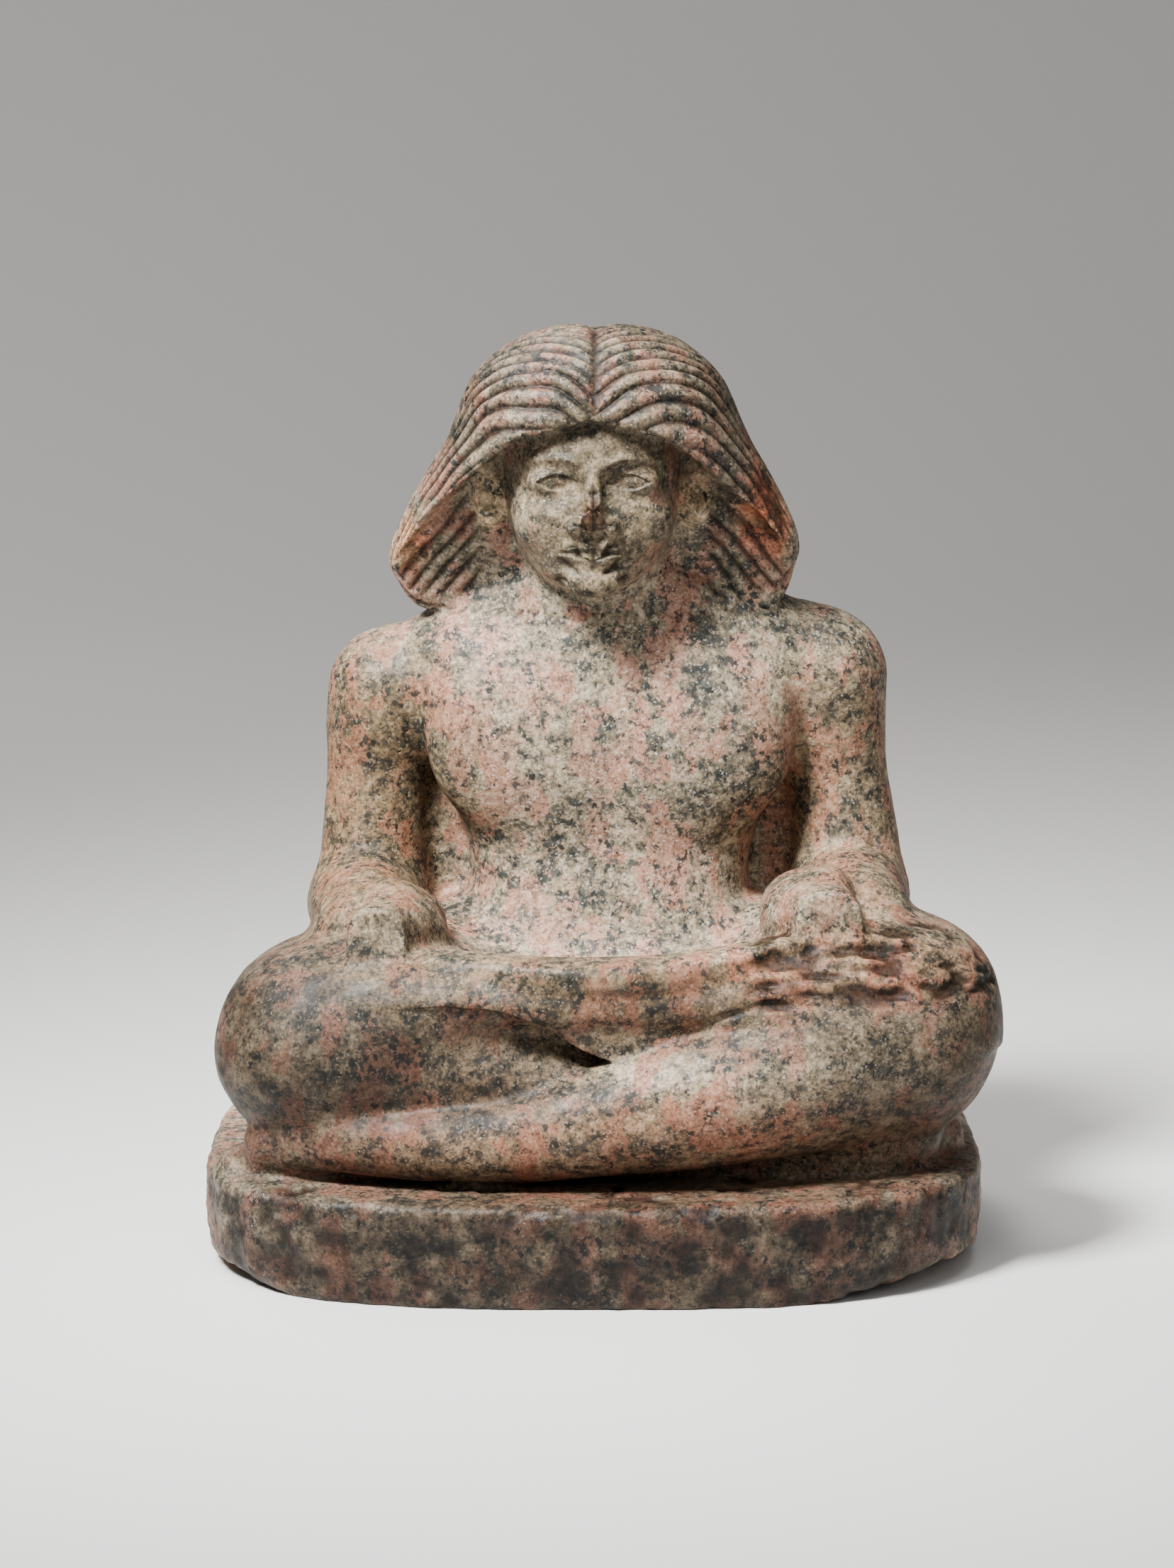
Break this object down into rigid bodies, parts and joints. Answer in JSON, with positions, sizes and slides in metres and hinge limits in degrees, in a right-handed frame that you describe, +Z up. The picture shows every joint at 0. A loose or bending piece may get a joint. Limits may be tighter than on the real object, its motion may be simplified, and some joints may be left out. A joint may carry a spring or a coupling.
{
  "type": "seated scribe statue",
  "caption": "Cross-legged seated scribe in a flaring wig and short kilt, hands on the lap, carved with its low plinth from one block of pink and grey granite.",
  "frame": {"origin": "on the flat underside of the plinth, midway between its front and back and on the figure's midline", "axes": "+Z up, -Y the way the figure faces, +X to the figure's left"},
  "size_m": [0.3375, 0.2362, 0.3909],
  "materials": {
    "granite": "worn satin, finely pitted"
  },
  "bodies": {
    "root": {"statue": "granite"}
  },
  "joints": []
}
